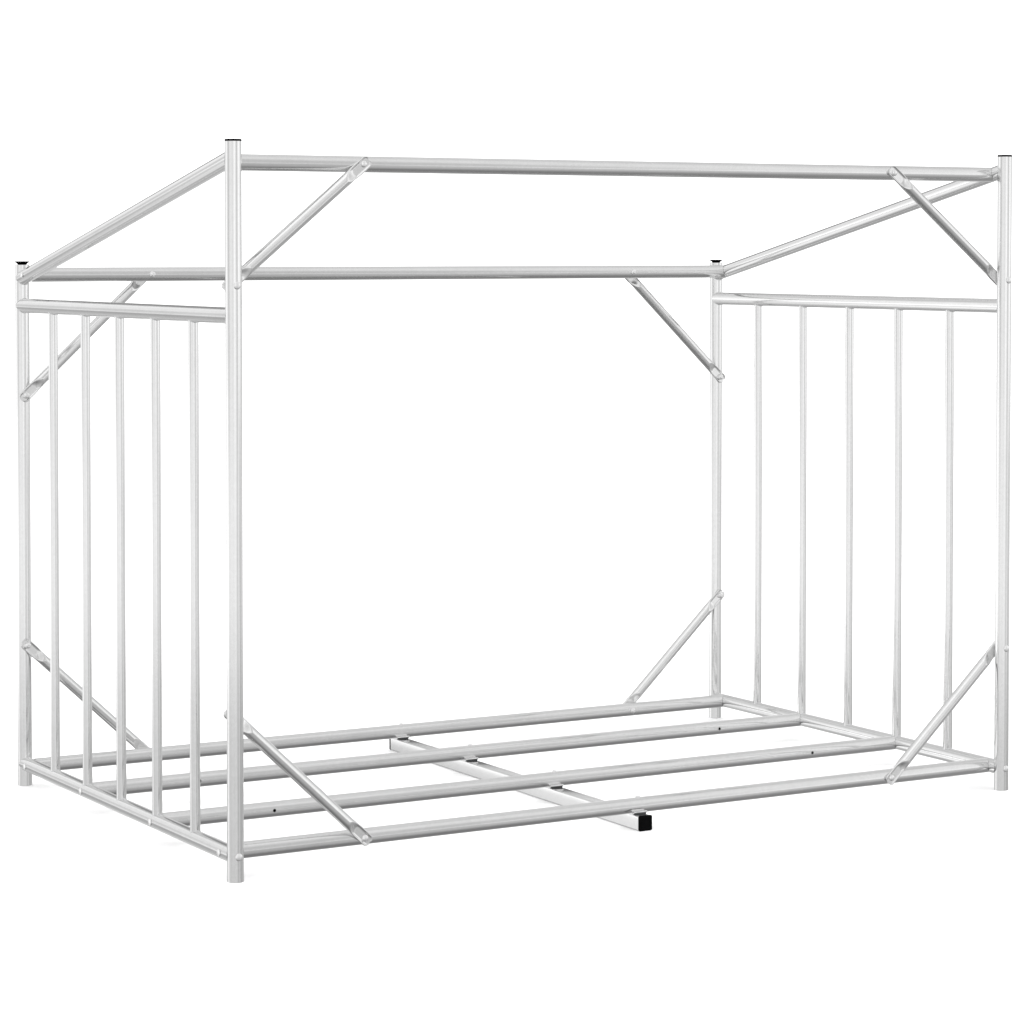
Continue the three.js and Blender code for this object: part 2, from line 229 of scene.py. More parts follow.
def finish_mesh(obj, sharp=38.0):
    shape = bmesh.new()
    shape.from_mesh(obj.data)
    bmesh.ops.recalc_face_normals(shape, faces=shape.faces)
    shape.to_mesh(obj.data)
    shape.free()
    obj.data.shade_smooth()
    obj.data.set_sharp_from_angle(angle=math.radians(sharp))


def add_piece(name, verts, faces, material, place=None, nodes=()):
    mesh = bpy.data.meshes.new(name)
    mesh.from_pydata([tuple(v) for v in verts], [], faces)
    mesh.materials.append(material)
    obj = bpy.data.objects.new(name, mesh)
    scene.collection.objects.link(obj)
    if place is not None:
        obj.matrix_world = place
    finish_mesh(obj)
    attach(obj, "root")
    if nodes:
        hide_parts(*nodes)
    return obj


def apply_modifier(obj, kind, **settings):
    modifier = obj.modifiers.new(kind.lower(), kind)
    for key, value in settings.items():
        setattr(modifier, key, value)
    graph = bpy.context.evaluated_depsgraph_get()
    mesh = bpy.data.meshes.new_from_object(obj.evaluated_get(graph))
    obj.modifiers.clear()
    obj.data = mesh
    finish_mesh(obj)


def skin(rings, around=True, ends=False):
    """Faces between rings of points. around joins the last ring to the first, ends caps them."""
    count = len(rings[0])
    verts = [point for ring in rings for point in ring]
    faces = []
    spans = len(rings) if around else len(rings) - 1
    for i in range(spans):
        a = i * count
        b = ((i + 1) % len(rings)) * count
        for j in range(count):
            k = (j + 1) % count
            faces.append((a + j, a + k, b + k, b + j))
    if ends:
        faces.append(tuple(reversed(range(count))))
        faces.append(tuple(range((len(rings) - 1) * count, len(rings) * count)))
    return verts, faces


def basis(origin, u, v, w):
    matrix = Matrix((u, v, w)).transposed().to_4x4()
    matrix.translation = origin
    return matrix


def aimed(origin, direction):
    """A place whose local +Z points along the direction."""
    matrix = Vector(direction).to_track_quat("Z", "Y").to_matrix().to_4x4()
    matrix.translation = origin
    return matrix


def lathe(name, profile, material, place, nodes=(), steps=48):
    """Turns a profile of (radius, height) about local Z. It starts and ends on the axis."""
    rings = [[(r * math.cos(TURN * j / steps), r * math.sin(TURN * j / steps), h)
              for j in range(steps)] for r, h in profile[1:-1]]
    verts, faces = skin(rings, around=False)
    for ring, height in ((0, profile[0][1]), (len(rings) - 1, profile[-1][1])):
        tip = len(verts)
        verts.append((0, 0, height))
        for j in range(steps):
            faces.append((ring * steps + j, ring * steps + (j + 1) % steps, tip))
    return add_piece(name, verts, faces, material, place, nodes)


# ------------------------------------------------------------ tubes

def tube_rings(radius, wall, start, end, sides, breaks):
    """Rings of a tube along local Z. start and end give the height of each end at (x, y)."""
    def ring(r, height):
        points = []
        for j in range(sides):
            x = r * math.cos(TURN * j / sides)
            y = r * math.sin(TURN * j / sides)
            points.append((x, y, height(x, y)))
        return points

    def shifted(function, by):
        return lambda x, y: function(x, y) + by

    def level(value):
        return lambda x, y: value

    inner = radius - wall
    heights = [shifted(start, CHAMFER), *[level(b) for b in breaks], shifted(end, -CHAMFER)]
    rings = [ring(radius, h) for h in heights]
    rings.append(ring(radius - CHAMFER, end))
    rings.append(ring(inner + CHAMFER, end))
    rings.extend(ring(inner, h) for h in reversed(heights))
    rings.append(ring(inner + CHAMFER, start))
    rings.append(ring(radius - CHAMFER, start))
    return rings


def add_tube(name, place, radius, start, end, span, sides=64, extra=()):
    """A tube whose local Z runs along its axis. span is the straight stretch between the ends."""
    low, high = span
    count = 8
    breaks = [low + (high - low) * i / count for i in range(count + 1)]
    breaks = sorted(set(breaks) | set(extra))
    verts, faces = skin(tube_rings(radius, WALL, start, end, sides, breaks))
    return add_piece(name, verts, faces, TUBE_ZINC, place, [name])


def flat(height):
    return lambda x, y: height


def notch(axis, sign, crossing, gap=COPE_GAP, trim=0.0, along="y"):
    """Height of an end coped onto a crossing tube whose axis is at the given height.

    The crossing tube runs along local x or y, and sign says on which side of it the end is."""
    def height(x, y):
        offset = x if along == "y" else y
        depth = math.sqrt(max((crossing + gap) ** 2 - offset ** 2, 0.0))
        return axis + sign * max(depth, trim)
    return height


def add_bead(name, place, radius, height, sign, width=1.1 * MM, seed=1, along="y"):
    """A weld bead round a tube's coped end, rippled, and thin where the two tubes run flush."""
    rng = random.Random(seed)
    path = []
    steps = 144
    for i in range(steps):
        angle = TURN * i / steps
        x = radius * math.cos(angle)
        y = radius * math.sin(angle)
        path.append(Vector((x, y, height(x, y) + sign * 0.3 * MM)))
    length = sum((path[i] - path[i - 1]).length for i in range(steps))
    ripples = round(length / (2.6 * MM))
    phase = rng.uniform(0, TURN)
    wander = [rng.uniform(0, TURN) for _ in range(3)]
    rings = []
    around = 10
    done = 0.0
    for i, point in enumerate(path):
        done += (path[i] - path[i - 1]).length if i else 0.0
        share = done / length
        swell = 1 + 0.11 * math.sin(TURN * ripples * share + phase)
        swell += sum(0.05 * math.sin(TURN * (k + 2) * share + w) for k, w in enumerate(wander))
        tangent = (path[(i + 1) % steps] - path[i - 1]).normalized()
        outward = Vector((point.x, point.y, 0)).normalized()
        side = tangent.cross(outward).normalized()
        outward = side.cross(tangent).normalized()
        offset = point.x if along == "y" else point.y
        flush = 1 - math.sqrt(max(1 - (offset / RADIUS) ** 2, 0.0))
        r = width * swell * (1 - 0.75 * flush)
        rings.append([tuple(point + outward * r * math.cos(TURN * j / around)
                            + side * r * math.sin(TURN * j / around)) for j in range(around)])
    verts, faces = skin(rings)
    return add_piece(name, verts, faces, WELD_ZINC, place)


def along_x(origin):
    return basis(origin, Y_AXIS, Z_AXIS, X_AXIS)


def along_y(origin):
    return basis(origin, Z_AXIS, X_AXIS, Y_AXIS)


# ------------------------------------------------------------ posts

for end_name, y_sign in ENDS:
    for side_name, x_sign in SIDES:
        node = f"post_{end_name}_{side_name}"
        low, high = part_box(node)
        foot = Vector((x_sign * POST_X, y_sign * POST_Y, 0))
        add_tube(node, Matrix.Translation(foot), RADIUS, flat(low.z), flat(high.z),
                 (low.z + 10 * MM, high.z - 10 * MM))


# ------------------------------------------------------------ rails and bars of the two ends

HALF_SIDE = POST_Y - COPE_REACH
SLOPED_REACH = (POST_Y - 30 * MM) / math.cos(SLOPE)
RUN = Vector((0, math.cos(SLOPE), -math.sin(SLOPE)))  # along the sloped rails, front to rear
DOWN = RUN.cross(X_AXIS)


def side_ends(gap):
    """Both ends of a rail along Y, coped onto its two posts."""
    return (notch(-POST_Y, 1, RADIUS, gap, SIDE_EAR_TRIM, "x"),
            notch(POST_Y, -1, RADIUS, gap, SIDE_EAR_TRIM, "x"))


def slope_end(sign):
    """Where a line along the sloped rail meets the upright post at its end."""
    def height(u, v):
        depth = max(math.sqrt(max(RADIUS ** 2 - u ** 2, 0.0)), SIDE_EAR_TRIM)
        y = sign * (POST_Y - depth)
        return (y - v * DOWN.y) / RUN.y
    return height


for side_name, x_sign in SIDES:
    x = x_sign * POST_X
    straight = (-HALF_SIDE, HALF_SIDE)
    welded = side_ends(0.0)
    top_place = along_y(Vector((x, 0, SIDE_TOP_Z)))
    bottom_place = along_y(Vector((x, 0, FLOOR_Z)))
    add_tube(f"side_top_rail_{side_name}", top_place, RADIUS, *welded, straight)
    add_tube(f"side_bottom_rail_{side_name}", bottom_place, RADIUS, *side_ends(COPE_GAP), straight)
    for index, height in enumerate(welded):
        add_bead(f"weld_side_top_rail_{side_name}_{ENDS[index][0]}", top_place, RADIUS, height,
                 1 - 2 * index, seed=10 + index, along="x")

    centre = Vector((x, 0, (rail_front.z + rail_rear.z) / 2))
    slope_place = basis(centre, X_AXIS, DOWN, RUN)
    add_tube(f"sloped_rail_{side_name}", slope_place, RADIUS, slope_end(-1), slope_end(1),
             (-SLOPED_REACH, SLOPED_REACH))
    for index, (end_name, sign) in enumerate(ENDS):
        add_bead(f"weld_sloped_rail_{side_name}_{end_name}", slope_place, RADIUS,
                 slope_end(sign), -sign, seed=20 + index)

    for number in range(1, 6):
        node = f"side_bar_{side_name}_{number}"
        place = Matrix.Translation(Vector((x, middle(node).y, 0)))
        low_end = notch(FLOOR_Z, 1, RADIUS, gap=0)
        high_end = notch(SIDE_TOP_Z, -1, RADIUS, gap=0)
        add_tube(node, place, BAR_RADIUS, low_end, high_end,
                 (FLOOR_Z + COPE_REACH, SIDE_TOP_Z - COPE_REACH), sides=48)
        add_bead(f"weld_{node}_low", place, BAR_RADIUS, low_end, 1, 0.8 * MM, number)
        add_bead(f"weld_{node}_high", place, BAR_RADIUS, high_end, -1, 0.8 * MM, number + 5)


# ------------------------------------------------------------ long rails

HALF_LONG = POST_X - COPE_REACH


def drilled(obj, points, radius):
    """Cuts round holes into the -X side of a tube that runs along local Z, at each point."""
    steps = 32
    for x, y, z in points:
        rings = [[(x + reach, y + radius * math.cos(TURN * j / steps),
                   z + radius * math.sin(TURN * j / steps)) for j in range(steps)]
                 for reach in (-0.04, 0.0)]
        verts, faces = skin(rings, around=False, ends=True)
        mesh = bpy.data.meshes.new("cutter")
        mesh.from_pydata(verts, [], faces)
        cutter = bpy.data.objects.new("cutter", mesh)
        scene.collection.objects.link(cutter)
        cutter.matrix_world = obj.matrix_world
        finish_mesh(cutter)
        bpy.context.view_layer.update()
        apply_modifier(obj, "BOOLEAN", object=cutter, operation="DIFFERENCE", solver="EXACT")
        bpy.data.objects.remove(cutter)


def long_rail(node, crossing, extra=()):
    return add_tube(node, along_x(middle(node)), RADIUS, crossing(-POST_X, 1),
                    crossing(POST_X, -1), (-HALF_LONG, HALF_LONG), extra=extra)


def level_crossing(axis, sign):
    return notch(axis, sign, RADIUS, trim=EAR_TRIM, along="x")


def sloped_crossing(axis, sign):
    """The crossing tube slopes, so the offset from it is measured square to its axis."""
    def height(x, y):
        offset = x * math.sin(SLOPE) + y * math.cos(SLOPE)
        depth = math.sqrt(max((RADIUS + COPE_GAP) ** 2 - offset ** 2, 0.0))
        return axis + sign * max(depth, EAR_TRIM)
    return height


for name in FLOOR_RAILS:
    spare = name.startswith("middle")
    near = [s * SPARE_HOLE_X + t * 8 * MM for s in (-1, 1) for t in (-1, 1)] if spare else []
    rail = long_rail(f"floor_rail_{name}", level_crossing, near)
    if spare:
        drilled(rail, [(0, 0, -SPARE_HOLE_X), (0, 0, SPARE_HOLE_X)], SPARE_HOLE_RADIUS)
for name in ("front", "rear"):
    long_rail(f"top_rail_{name}", sloped_crossing)


# ------------------------------------------------------------ bolts and nuts

def dome(radius, height, neck, reach, steps=9):
    """Profile of a domed head. Height 0 is its flat underside, and the neck goes down from it."""
    points = [(0, -reach), (neck, -reach), (neck, 0), (radius * 0.95, 0), (radius, 0.09 * height)]
    edge = 0.22 * height
    for i in range(steps):
        angle = math.pi / 2 * i / steps
        points.append((radius * math.cos(angle) ** 0.9, edge + (height - edge) * math.sin(angle)))
    points.append((0, height))
    return points


def add_dome(name, origin, direction, nodes=(), radius=7.8 * MM, height=2.8 * MM, reach=4 * MM):
    return lathe(name, dome(radius, height, 5.2 * MM, reach), BOLT_ZINC,
                 aimed(origin, direction), nodes)


def add_nut(name, origin, direction, flats=6.5 * MM, height=6.5 * MM, thread=4.0 * MM):
    """A hexagon nut with chamfered corners and the end of its bolt standing out of it."""
    steps = 60
    place = aimed(origin, direction)

    def corner(angle):
        return flats / math.cos((angle + math.pi / 6) % (math.pi / 3) - math.pi / 6)

    rings = []
    slope = 0.55
    for lift, cut in ((-1.5 * MM, 0), (0, 0), (0, 1), (height, 1), (height, 0)):
        ring = []
        for j in range(steps):
            angle = TURN * j / steps
            r = corner(angle)
            h = lift
            if cut:
                drop = slope * (r - flats) + 0.15 * MM
                h = lift + drop if lift == 0 else lift - drop
            else:
                r = flats * 0.97
            ring.append((r * math.cos(angle), r * math.sin(angle), h))
        rings.append(ring)
    pitch = 1.25 * MM
    top = height + 3.2 * MM
    h = height
    while h < top - pitch:
        for r, dh in ((thread, 0.15), (thread - 0.65 * MM, 0.5), (thread - 0.65 * MM, 0.65)):
            rings.append([(r * math.cos(TURN * j / steps), r * math.sin(TURN * j / steps),
                           h + dh * pitch) for j in range(steps)])
        h += pitch
    for r, lift in ((thread, 0.0), (thread, 0.3 * MM), (thread - 0.6 * MM, 0.8 * MM)):
        rings.append([(r * math.cos(TURN * j / steps), r * math.sin(TURN * j / steps),
                       h + lift) for j in range(steps)])
    verts, faces = skin(rings, around=False, ends=True)
    return add_piece(name, verts, faces, BOLT_ZINC, place)


for name in FLOOR_RAILS:
    y = middle(f"floor_rail_{name}").y
    for side_name, x_sign in SIDES:
        origin = Vector((x_sign * (POST_X + RADIUS), y, FLOOR_Z))
        node = f"floor_rail_bolt_{name}_{side_name}"
        add_dome(node, origin, (x_sign, 0, 0), [node])

for end_name, y_sign in ENDS:
    z = middle(f"top_rail_{end_name}").z
    for side_name, x_sign in SIDES:
        origin = Vector((x_sign * (POST_X + RADIUS), y_sign * RAIL_Y, z))
        if end_name == "rear":
            add_dome(f"top_rail_bolt_{end_name}_{side_name}", origin, (x_sign, 0, 0))
        origin = Vector((x_sign * POST_X, y_sign * (POST_Y + RADIUS), FLOOR_Z))
        add_dome(f"post_foot_bolt_{end_name}_{side_name}", origin, (0, y_sign, 0))


# ------------------------------------------------------------ corner braces

# Half of a pressed tab's outline from the middle of its channel floor to the middle of its
# flat back, as (towards the open side, across), in millimetres.
TAB_HALF = ((1.5, 0.0), (1.5, 7.4), (2.0, 9.0), (3.0, 10.0), (3.9, 10.9), (4.3, 11.9), (4.0, 12.9),
            (3.0, 13.5), (1.5, 13.6), (0.0, 13.2), (-1.1, 12.0), (-1.6, 10.4), (-1.6, 0.0))
TAB_HALF_WIDTH = max(across for out, across in TAB_HALF) * MM
TAB_FLOOR = TAB_HALF[0][0] * MM
TAB_TIP = 14.5 * MM  # from the bolt to the end of the tab
TAB_CORNER = 9 * MM
BRACE_STEPS = 72
BRACE_STRAIGHT = 70 * MM  # from here on, measured from its bolt, a brace is plain round tube


def tab_outline():
    """BRACE_STEPS points evenly spaced along the tab's outline, starting at the channel floor."""
    lengths = [0.0]
    for a, b in zip(TAB_HALF, TAB_HALF[1:]):
        lengths.append(lengths[-1] + math.dist(a, b))
    half = []
    for i in range(BRACE_STEPS // 2 + 1):
        want = lengths[-1] * i / (BRACE_STEPS // 2)
        k = max(j for j in range(len(lengths) - 1) if lengths[j] <= want + 1e-9)
        t = (want - lengths[k]) / (lengths[k + 1] - lengths[k])
        a, b = TAB_HALF[k], TAB_HALF[k + 1]
        half.append(((a[0] + (b[0] - a[0]) * t) * MM, (a[1] + (b[1] - a[1]) * t) * MM))
    return half + [(p[0], -p[1]) for p in reversed(half[1:-1])]


TAB_OUTLINE = tab_outline()


def smooth(value):
    value = min(max(value, 0.0), 1.0)
    return value * value * (3 - 2 * value)


def brace_section(distance, side):
    """The brace's outline at a distance from its bolt, pressed in from the given side."""
    points = []
    for j in range(BRACE_STEPS):
        angle = TURN * j / BRACE_STEPS
        out, across = BRACE_RADIUS * math.cos(angle), BRACE_RADIUS * math.sin(angle)
        front = abs(math.cos(angle))
        begin = (22 + 9 * front ** 1.5) * MM
        length = (16 + 10 * front) * MM
        grow = smooth((distance - begin) / length)
        tab_out, tab_across = TAB_OUTLINE[j]
        points.append((side * (tab_out + (out - tab_out) * grow),
                       tab_across + (across - tab_across) * grow))
    return points


def add_brace(node, rail_point, post_point, outward):
    """Local z runs from the rail's bolt to the post's, and local x points outward."""
    span = (post_point - rail_point).length
    along = (post_point - rail_point).normalized()
    across = along.cross(outward).normalized()
    normal = across.cross(along).normalized()
    place = basis(rail_point, normal, across, along)
    corner = [TAB_CORNER * (1 - math.cos(math.pi / 2 * i / 8)) for i in range(9)]
    near = [*[c - TAB_TIP for c in corner], 0.0, *[(20 + i * 1.5) * MM for i in range(29)]]
    stations = [(s, s, 1) for s in near]
    stations += [(BRACE_STRAIGHT + (span - 2 * BRACE_STRAIGHT) * i / 6, 1.0, 1)
                 for i in range(7)]
    stations += [(span - s, s, -1) for s in reversed(near)]
    rings = []
    for place_along, distance, side in stations:
        section = brace_section(distance, side)
        if side < 0:
            # Keep point j on the same side of the tube as in the other half.
            half = BRACE_STEPS // 2
            section = [section[(half - j) % BRACE_STEPS] for j in range(BRACE_STEPS)]
        inset = max(TAB_CORNER - (distance + TAB_TIP), 0.0)
        inset = TAB_CORNER - math.sqrt(TAB_CORNER ** 2 - inset ** 2)
        narrow = 1 - inset / TAB_HALF_WIDTH
        rings.append([(p[0], p[1] * narrow, place_along) for p in section])
    verts, faces = skin(rings, around=False, ends=True)
    return add_piece(node, verts, faces, BRACE_ZINC, place, [node])


for end_name, y_sign in ENDS:
    outward = Vector((0, y_sign, 0))
    for level_name, rail_z in (("upper", middle(f"top_rail_{end_name}").z), ("lower", FLOOR_Z)):
        post_z = BRACE_POST_Z[end_name, level_name]
        for side_name, x_sign in SIDES:
            label = f"{end_name}_{level_name}_{side_name}"
            rail_point = Vector((x_sign * BRACE_RAIL_X, y_sign * (RAIL_Y + TAB_OFFSET), rail_z))
            post_point = Vector((x_sign * POST_X, y_sign * (POST_Y - TAB_OFFSET), post_z))
            add_brace(f"brace_{label}", rail_point, post_point, outward)
            add_dome(f"brace_rail_bolt_{label}", rail_point + outward * TAB_FLOOR, outward,
                     radius=7.2 * MM, height=3.8 * MM, reach=3 * MM)
            add_nut(f"brace_rail_nut_{label}",
                    rail_point - outward * (TAB_OFFSET + RADIUS), -outward)
            if label != "front_lower_left":
                add_dome(f"brace_post_bolt_{label}",
                         post_point + outward * (TAB_OFFSET + RADIUS), outward)
            add_nut(f"brace_post_nut_{label}", post_point - outward * TAB_FLOOR, -outward)


# ------------------------------------------------------------ plugs in the posts

def flat_plug(low, top):
    """Profile of a plug whose flange lies on the rim of its tube."""
    r = PLUG_RADIUS
    return [(0, low), (13 * MM, low), (14.6 * MM, top - 4.2 * MM), (14.8 * MM, top - 4 * MM),
            (r - 0.5 * MM, top - 4 * MM), (r, top - 3.5 * MM), (r, top - 1.2 * MM),
            (r - 0.35 * MM, top - 0.5 * MM), (r - 1.0 * MM, top - 0.1 * MM),
            (r - 1.8 * MM, top), (11.5 * MM, top), (11.0 * MM, top - 0.35 * MM),
            (3 * MM, top - 0.35 * MM), (2.5 * MM, top - 0.7 * MM), (0, top - 0.7 * MM)]


def proud_plug(low, top):
    """Profile of a plug that stands above its tube on a neck which widens towards the top."""
    r = PLUG_RADIUS
    rim = top - 8 * MM
    return [(0, low), (9 * MM, low), (10 * MM, rim - 0.5 * MM), (10.6 * MM, rim + 0.8 * MM),
            (12.2 * MM, rim + 3 * MM), (14.4 * MM, rim + 4.8 * MM), (15.2 * MM, rim + 5.1 * MM),
            (r - 0.5 * MM, rim + 5.2 * MM), (r, rim + 5.7 * MM), (r, rim + 7 * MM),
            (r - 0.4 * MM, rim + 7.6 * MM), (r - 1.2 * MM, top), (11.5 * MM, top),
            (11.0 * MM, top - 0.35 * MM), (3 * MM, top - 0.35 * MM),
            (2.5 * MM, top - 0.7 * MM), (0, top - 0.7 * MM)]


for side_name, x_sign in SIDES:
    for (end_name, y_sign), plug_profile in zip(ENDS, (flat_plug, proud_plug)):
        node = f"post_cap_{end_name}_{side_name}"
        low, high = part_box(node)
        post_axis = Matrix.Translation(Vector((x_sign * POST_X, y_sign * POST_Y, 0)))
        lathe(node, plug_profile(low.z, high.z), BLACK_PLASTIC, post_axis,
              [node], steps=72)


# ------------------------------------------------------------ support bar, its plugs, saddles

def rounded_square(half, corner, along, steps=8):
    """Points round a square with rounded corners, in local x and y, at one local z."""
    points = []
    for quarter in range(4):
        middle_angle = math.pi / 4 + quarter * math.pi / 2
        cx = math.copysign(half - corner, math.cos(middle_angle))
        cy = math.copysign(half - corner, math.sin(middle_angle))
        for i in range(steps + 1):
            angle = quarter * math.pi / 2 + math.pi / 2 * i / steps
            points.append((cx + corner * math.cos(angle), cy + corner * math.sin(angle), along))
    return points


bar_low, bar_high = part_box("support_bar")
bar_middle = middle("support_bar")
bar_half = (bar_high.x - bar_low.x) / 2
bar_reach = bar_high.y - bar_middle.y
inner_half = bar_half - WALL


def add_support_bar():
    rim = 0.3 * MM
    ys = [rim - bar_reach, *[bar_reach * (i - 4) / 4.2 for i in range(9)], bar_reach - rim]
    rings = [rounded_square(bar_half, 2.4 * MM, y) for y in ys]
    rings.append(rounded_square(bar_half - rim, 2.2 * MM, bar_reach))
    rings.append(rounded_square(inner_half, 1.4 * MM, bar_reach))
    rings.append(rounded_square(inner_half, 1.4 * MM, -bar_reach))
    rings.append(rounded_square(bar_half - rim, 2.2 * MM, -bar_reach))
    verts, faces = skin(rings)
    bar = add_piece("support_bar", verts, faces, TUBE_ZINC,
                    along_y(bar_middle), ["support_bar"])
    holes = [(0, 0, middle(f"floor_rail_{name}").y) for name in FLOOR_RAILS]
    drilled(bar, holes, ACCESS_RADIUS)


def add_square_plug(end_name, y_sign):
    node = f"support_bar_cap_{end_name}"
    low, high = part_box(node)
    centre = middle(node)
    half = (high.x - low.x) / 2
    outer = high.y if y_sign > 0 else low.y
    place = aimed(Vector((centre.x, outer, centre.z)), (0, y_sign, 0))
    plug = inner_half - 0.5 * MM
    # Half width, then corner radius and height in millimetres. Height 0 is the outer face.
    levels = [(plug - 1.5 * MM, 1.5, -18.4), (plug, 1.8, -16), (plug, 1.8, -5),
              (half - 0.4 * MM, 3.6, -5), (half, 4.0, -4.5), (half, 4.0, -1.2),
              (half - 0.3 * MM, 3.8, -0.5), (half - 1.0 * MM, 3.4, -0.1),
              (half - 1.6 * MM, 3.0, 0.0), (half - 6.0 * MM, 2.4, 0.0),
              (half - 6.6 * MM, 2.2, -0.6), (half - 12 * MM, 1.4, -0.6)]
    rings = [rounded_square(h, corner * MM, z * MM) for h, corner, z in levels]
    verts, faces = skin(rings, around=False, ends=True)
    add_piece(node, verts, faces, BLACK_PLASTIC, place, [node])


add_support_bar()
for end_name, y_sign in ENDS:
    add_square_plug(end_name, y_sign)

SEAT = RADIUS + 0.15 * MM
PLATE_BACK = SEAT + 2.3 * MM  # the curved plate between a rail and its block ends here
SADDLE_TAPER = 2.5 * MM  # the block is this much narrower at the foot, on each side
SADDLE_BOLT_RADIUS = 3 * MM
SADDLE_HEAD_RADIUS = 5.2 * MM


def arc_below(radius, reach, steps=17):
    """Points (y, z) of the underside of a floor rail of this radius, from +reach to -reach."""
    ys = [reach * (1 - 2 * i / (steps - 1)) for i in range(steps)]
    return [(y, FLOOR_Z - math.sqrt(radius ** 2 - y ** 2)) for y in ys]


def add_saddle_piece(label, box, outline, taper, material, nodes):
    """An outline in y and z stretched along X over the box, and narrowed by taper at the foot."""
    low, high = box
    centre = (low + high) / 2
    rings = []
    for side in (low.x, high.x):
        ring = []
        for y, z in outline:
            share = min((high.z - z) / (high.z - low.z), 1.0)
            ring.append((side - math.copysign(taper, side) * share, y, z - centre.z))
        rings.append(ring)
    verts, faces = skin(rings, around=False, ends=True)
    place = Matrix.Translation(Vector((0, centre.y, centre.z)))
    obj = add_piece(label, verts, faces, material, place, nodes)
    apply_modifier(obj, "BEVEL", width=0.4 * MM, segments=2, limit_method="ANGLE",
                   angle_limit=math.radians(35))


def add_saddle(name):
    """A block on the support bar, dark grey with painted shade in its colour, and the bright plate
    that a floor rail lies in.
    """
    node = f"saddle_{name}"
    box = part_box(node)
    low, high = box
    half = (high.y - low.y) / 2
    block_half = half - 0.6 * MM
    block = arc_below(PLATE_BACK + 0.05 * MM, block_half)
    block += [(-block_half, low.z), (block_half, low.z)]
    plate = arc_below(SEAT, half) + arc_below(PLATE_BACK, half)[::-1]
    # The block's dark colour is partly the plastic's own and partly painted shade.
    add_saddle_piece(node, box, block, SADDLE_TAPER, SADDLE_PLASTIC_PAINTED_SHADE, [node])
    add_saddle_piece(f"saddle_plate_{name}", box, plate, 0.0, BOLT_ZINC, [])


def add_saddle_bolt(name):
    """A bolt from inside the support bar up through the saddle, with a low dome on the rail."""
    node = f"saddle_bolt_{name}"
    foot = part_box(node)[0].z
    top = FLOOR_Z + RADIUS
    shank = SADDLE_BOLT_RADIUS
    head = SADDLE_HEAD_RADIUS
    profile = [(0, foot), (5.4 * MM, foot), (5.5 * MM, foot + 4 * MM), (shank, foot + 4 * MM),
               (shank, top - 1 * MM), (5.0 * MM, top - 1 * MM), (head, top + 0.3 * MM),
               (head, top + 1.8 * MM)]
    for i in range(1, 8):
        angle = math.pi / 2 * i / 8
        profile.append((head * math.cos(angle) ** 0.8, top + (1.8 + 1.6 * math.sin(angle)) * MM))
    profile.append((0, top + 3.4 * MM))
    place = Matrix.Translation(Vector((0, middle(f"saddle_{name}").y, 0)))
    lathe(node, profile, BOLT_ZINC, place, [node], steps=40)


for name in FLOOR_RAILS:
    add_saddle(name)
    add_saddle_bolt(name)


# ------------------------------------------------------------ floor, light and camera

def add_floor():
    """A pale floor. It is left out of the metal's reflections, which see the world's own floor."""
    half = 30.0
    mesh = bpy.data.meshes.new("floor")
    mesh.from_pydata([(-half, -half, 0), (half, -half, 0), (half, half, 0), (-half, half, 0)],
                     [], [(0, 1, 2, 3)])
    floor = bpy.data.objects.new("floor", mesh)
    scene.collection.objects.link(floor)
    g = Graph("pale_floor")
    g.shader.inputs["Roughness"].default_value = 0.9
    g.shader.inputs["Specular IOR Level"].default_value = 0.0
    place = g.add("NewGeometry").outputs["Position"]
    tone = g.noise(place, 1.5, 2.0, 0.5)
    g.link(g.ramp(tone, [(0.3, (0.955, 0.955, 0.955)), (0.7, (0.97, 0.97, 0.97))]),
           g.shader.inputs["Base Color"])
    mesh.materials.append(g.material)
    floor.visible_glossy = False


# Brightness that the metal mirrors, by height above the horizon in degrees.
BY_HEIGHT = ((-90, 0.18), (-75, 0.19), (-60, 0.24), (-44, 0.40), (-28, 0.58), (-16, 0.71),
             (-10, 0.72), (-6.7, 1.12), (-5, 1.06), (-3, 1.0), (0, 0.99), (8, 0.90),
             (25, 0.81), (45, 0.77), (90, 0.82))
# How that changes round the horizon, by compass angle in degrees from -Y towards +X: level with
# the camera, and below.
BY_ANGLE = ((-180, 1.0), (-165, 0.78), (-157, 0.72), (-145, 1.20), (-135, 1.22), (-127, 1.16),
            (-109, 0.88), (-92, 0.62), (-78, 0.92), (-63, 0.96), (-49, 0.96), (-35, 0.88),
            (-22, 1.0), (-8, 1.22), (6, 0.98), (18, 0.76), (27, 0.66), (32, 0.73), (36, 1.02),
            (44, 1.16), (55, 1.22), (76, 1.0), (102, 0.64), (123, 0.75), (143, 0.95),
            (155, 0.70), (170, 0.80), (180, 1.0))
BY_ANGLE_BELOW = ((-180, 1.25), (-170, 1.12), (-163, 0.82), (-156, 0.79), (-149, 1.30),
                  (-140, 1.50), (-127, 1.42), (-112, 1.08), (-92, 0.90), (-63, 0.95), (-35, 0.94),
                  (-8, 0.99), (8, 0.84), (18, 0.69), (26, 0.69), (32, 0.90), (37, 0.92),
                  (44, 0.76), (55, 0.60), (70, 0.62), (88, 0.72), (102, 0.70), (123, 0.76),
                  (143, 0.95), (165, 1.05), (180, 1.25))
# Soft cards round the rack: where each stands as seen from it, how bright it is against what
# is behind it, and the cosines at which it has faded away and at which it is full.
CARDS = (((0.20, 0.92, 0.34), 0.45, 0.970, 0.995),
         ((-0.25, 0.92, 0.31), 1.35, 0.965, 0.992),
         ((-0.22, 0.92, -0.33), 0.75, 0.965, 0.992),
         ((-0.33, 0.81, -0.48), 1.40, 0.978, 0.9945),
         ((-0.43, 0.66, -0.60), 1.35, 0.94, 0.985),
         ((-0.35, -0.23, 0.90), 1.45, 0.86, 0.97))


# The change from level to below is made between these heights, in degrees.
LEVEL_ENDS = -1.6
BELOW_STARTS = -5.0
PLAIN_STRENGTH = 1.7  # brightness of the white studio that everything but a mirror sees


